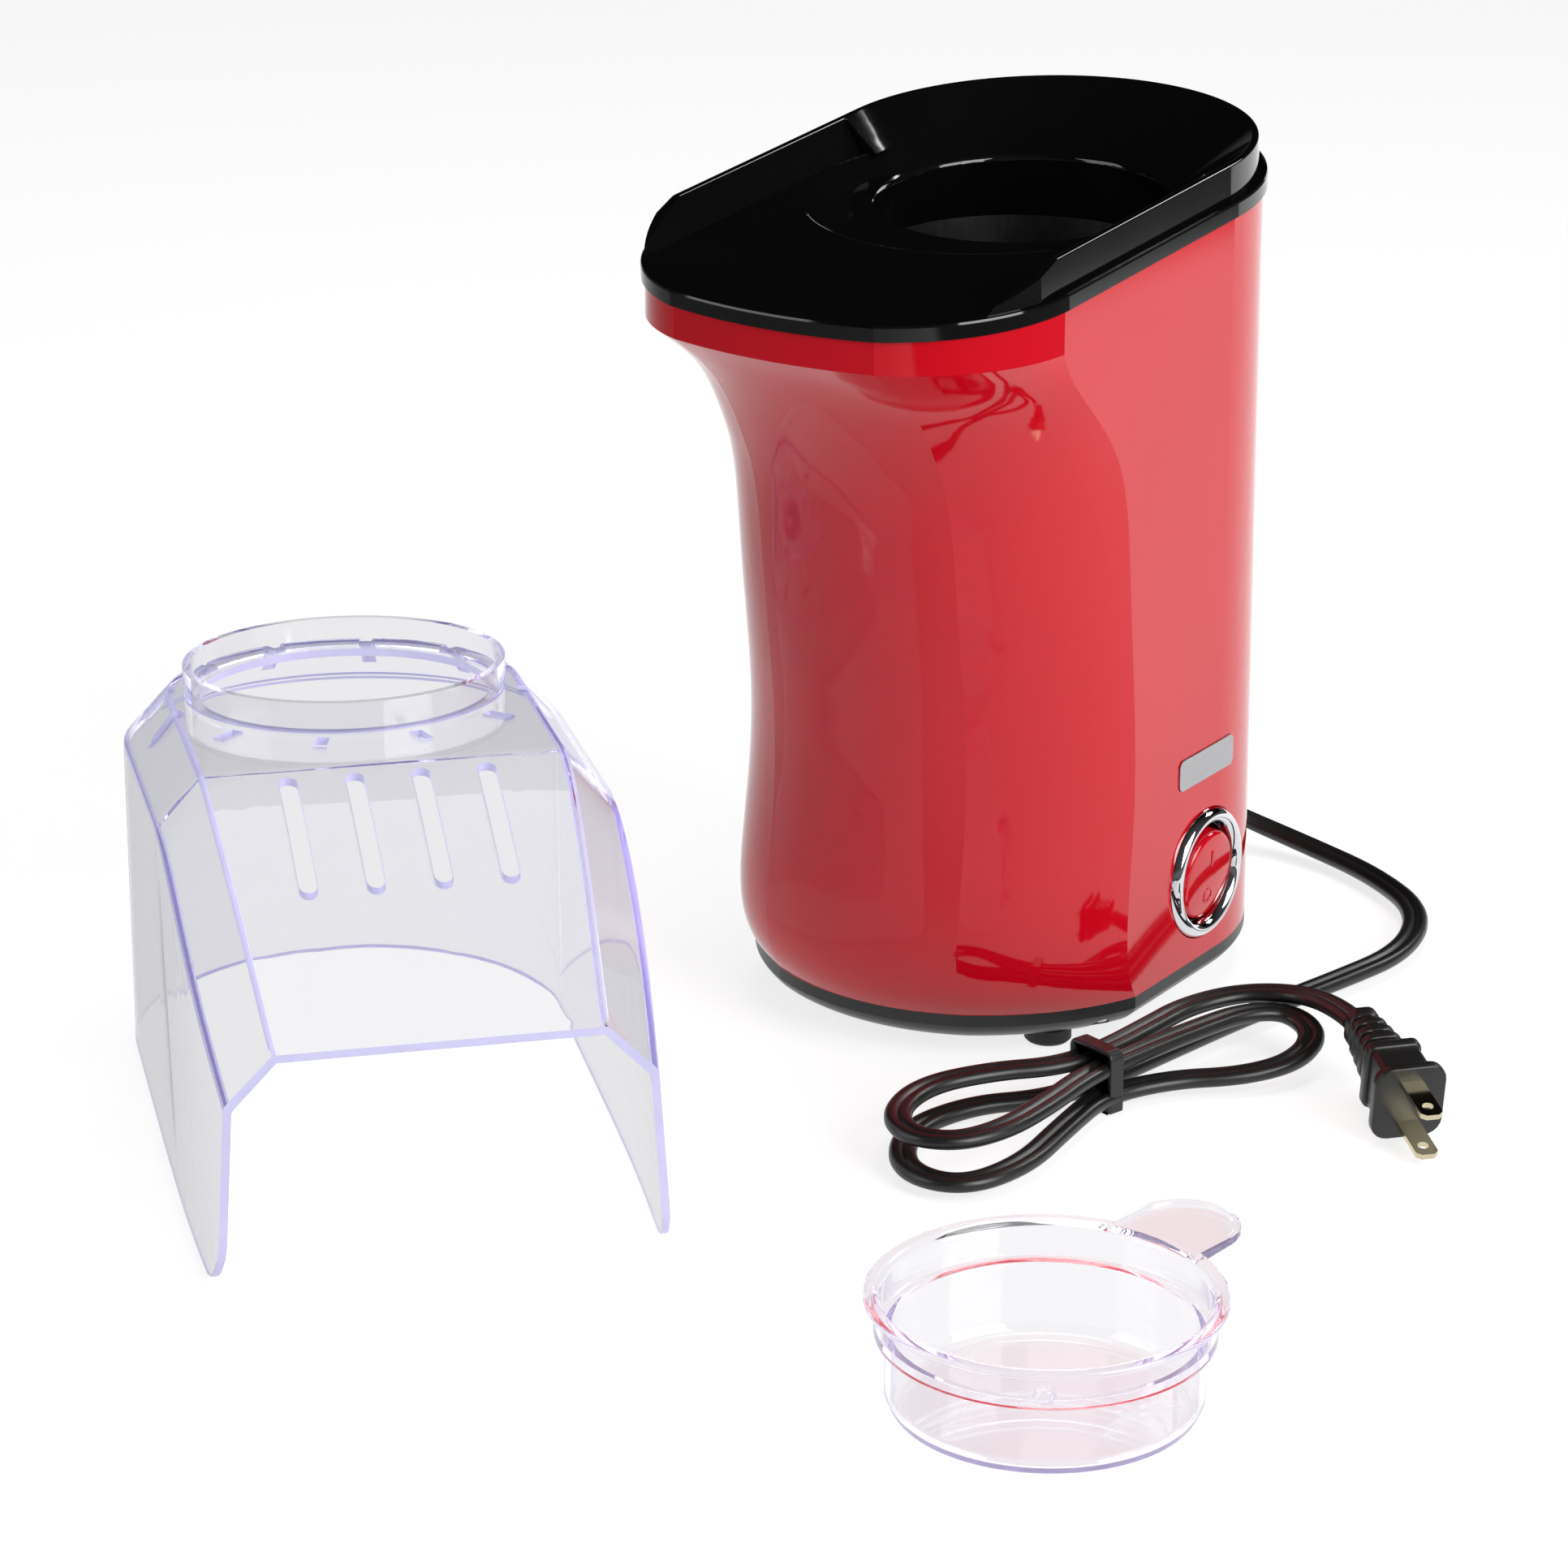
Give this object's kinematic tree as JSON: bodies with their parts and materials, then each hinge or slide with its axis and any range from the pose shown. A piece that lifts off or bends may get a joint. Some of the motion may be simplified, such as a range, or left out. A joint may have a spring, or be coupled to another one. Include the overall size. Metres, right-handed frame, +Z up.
{
  "type": "hot-air popcorn maker",
  "caption": "Hot-air popcorn maker with a glossy upright body, sloped spout top and round rocker switch, shown with its clear hood, measuring cup and bundled mains cord.",
  "frame": {"origin": "middle of the set's footprint on the worktop: the body with its cord bush, the hood and the cup", "axes": "+Z up, -Y the way the body's spout faces, +X the side with the switch"},
  "size_m": [0.3952, 0.4308, 0.2508],
  "materials": {
    "red_abs": "high gloss",
    "black_abs": "high gloss",
    "black_satin": "satin",
    "foot_rubber": "matt",
    "bezel_chrome": "polished",
    "plate_silver": "satin",
    "clear_plastic": "clear",
    "chamber_aluminium": "dark anodised",
    "zinc_steel": "bright",
    "screw_steel": "bright",
    "mica_board": "matt",
    "nichrome": "matt",
    "fibre_seal": "matt",
    "cream_nylon": "matt",
    "magnet_ferrite": "matt",
    "core_steel": "matt",
    "copper_wire": "enamelled",
    "bush_bronze": "bright",
    "brush_carbon": "matt",
    "board_laminate": "matt",
    "diode_black": "matt",
    "tab_brass": "bright",
    "cord_pvc": "satin",
    "lead_pvc": "matt",
    "blade_brass": "bright"
  },
  "bodies": {
    "main_unit": {"housing_shell": "red_abs", "top_cover": "black_abs", "base_tray": "black_satin", "rubber_feet": "foot_rubber", "switch_bezel": "bezel_chrome", "badge_plate": "plate_silver", "popping_chamber": "chamber_aluminium", "heater_can": "zinc_steel", "chamber_screws": "screw_steel", "heater_screws": "screw_steel", "motor_screws": "screw_steel", "base_screws": "screw_steel", "duct_screws": "screw_steel", "chamber_seal": "fibre_seal", "heater_frame": "mica_board", "main_coil": "nichrome", "motor_coil": "nichrome", "thermostat": "zinc_steel", "thermal_fuse": "zinc_steel", "fan_duct": "cream_nylon", "motor_can": "zinc_steel", "motor_bushes": "bush_bronze", "brushes": "brush_carbon", "motor_end_cap": "black_satin", "motor_magnets": "magnet_ferrite", "rectifier_board": "board_laminate", "rectifier_diodes": "diode_black", "switch_body": "black_satin", "switch_pivot": "core_steel", "switch_terminals": "tab_brass", "cord_bush": "black_satin", "cord_lead": "cord_pvc", "cord_hank": "cord_pvc", "cord_tail": "cord_pvc", "cord_tie": "black_satin", "plug_body": "cord_pvc", "plug_blades": "blade_brass", "live_lead": "lead_pvc", "switched_lead": "lead_pvc", "neutral_lead": "lead_pvc"},
    "rocker": {"switch_rocker": "red_abs"},
    "fan": {"impeller": "cream_nylon", "motor_shaft": "core_steel", "rotor_core": "core_steel", "rotor_windings": "copper_wire", "commutator": "copper_wire"},
    "hood": {"hood": "clear_plastic"},
    "cup": {"measuring_cup": "clear_plastic"}
  },
  "joints": [
    {"name": "rocker_tilt", "type": "hinge", "parent": "main_unit", "child": "rocker", "pos_m": [0.0497, 0.1105, 0.0395], "axis": [0, -1, 0], "range_deg": [0, 12]},
    {"name": "fan_spin", "type": "hinge", "parent": "main_unit", "child": "fan", "pos_m": [-0.008, 0.1083, 0.05], "axis": [0, 0, 1], "continuous": true},
    {"name": "hood_lift", "type": "slide", "parent": "main_unit", "child": "hood", "axis": [0, 0, 1], "range_m": [0, 0.15]},
    {"name": "cup_lift", "type": "slide", "parent": "main_unit", "child": "cup", "axis": [0, 0, 1], "range_m": [0, 0.15]}
  ]
}
